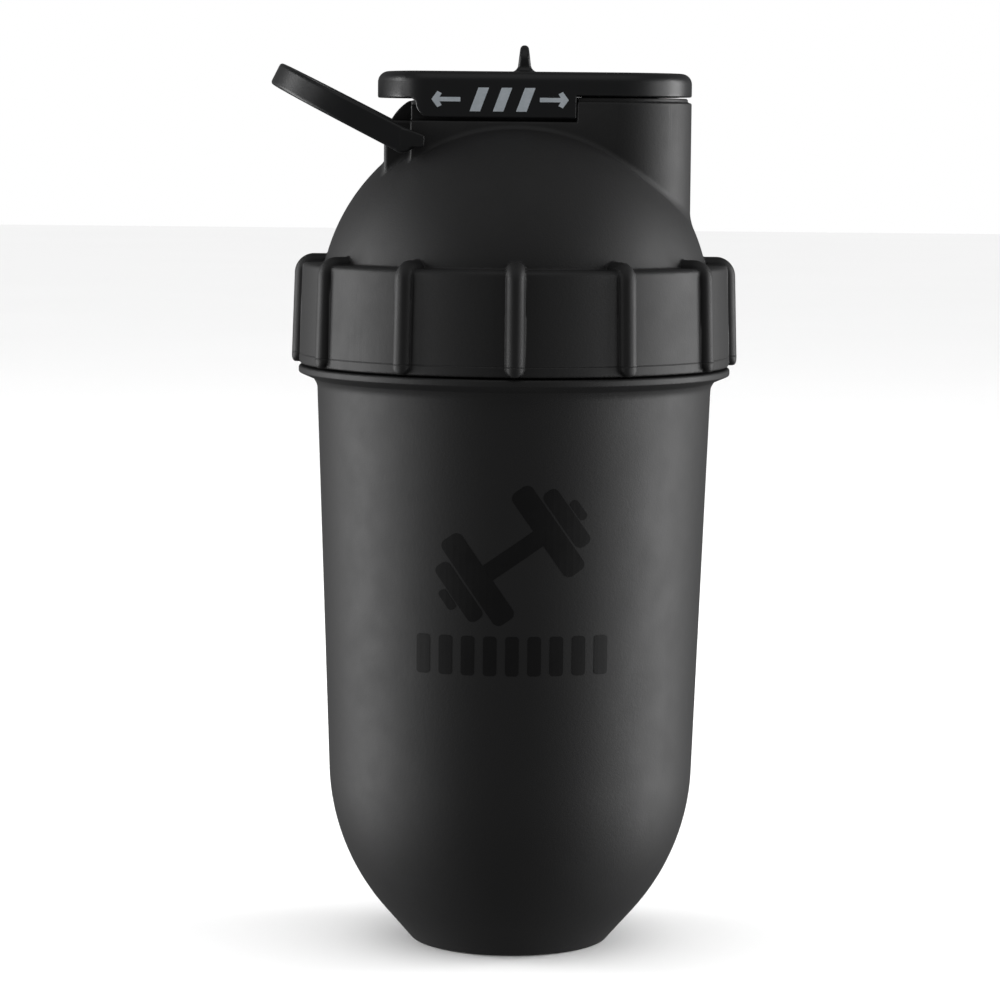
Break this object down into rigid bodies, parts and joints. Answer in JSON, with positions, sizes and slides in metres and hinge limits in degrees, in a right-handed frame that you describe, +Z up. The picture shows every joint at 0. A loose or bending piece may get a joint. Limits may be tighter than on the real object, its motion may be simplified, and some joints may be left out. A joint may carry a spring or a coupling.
{
  "type": "protein shaker bottle",
  "caption": "Capsule-shaped shaker bottle: a round-bottomed cup, a ribbed screw cap with a domed raised spout, a slide cover and a hinged carry loop.",
  "frame": {"origin": "centre of the flat base that the bottle stands on", "axes": "+Z up along the cup's axis; -Y is the front with the emblem and the cover's print; +X is the side with the drinking mouth, -X the side with the carry loop"},
  "size_m": [0.1094, 0.1042, 0.2099],
  "materials": {
    "soft_touch_black": "fine matte, slightly textured",
    "satin_black": "satin",
    "silicone_grey": "soft matte silicone",
    "print_grey": "pad-printed ink, satin",
    "tone_print": "tone on tone ink, slightly glossier than the wall"
  },
  "bodies": {
    "cup": {"cup": "soft_touch_black", "cup_emblem": "tone_print", "cup_label_bars": "tone_print"},
    "seal_carrier": {"rim_seal": "silicone_grey"},
    "cap": {"screw_cap": "soft_touch_black"},
    "cover": {"slide_cover": "satin_black", "mouth_seal": "silicone_grey", "cover_print": "print_grey"},
    "loop": {"carry_loop": "satin_black"}
  },
  "joints": [
    {"name": "cap_lift", "type": "slide", "parent": "cup", "child": "seal_carrier", "axis": [0, 0, 1], "range_m": [0, 0.024]},
    {"name": "cap_turn", "type": "hinge", "parent": "seal_carrier", "child": "cap", "pos_m": [0, 0, 0.15], "axis": [0, 0, 1], "range_deg": [0, 720]},
    {"name": "cover_slide", "type": "slide", "parent": "cap", "child": "cover", "axis": [-1, 0, 0], "range_m": [0, 0.015]},
    {"name": "loop_swing", "type": "hinge", "parent": "cap", "child": "loop", "pos_m": [-0.026, 0, 0.1879], "axis": [0, 1, 0], "range_deg": [-58, 75]}
  ],
  "couplings": [
    {"joint": "cap_lift", "follows": "cap_turn", "m_per_rad": 0.0019099}
  ]
}
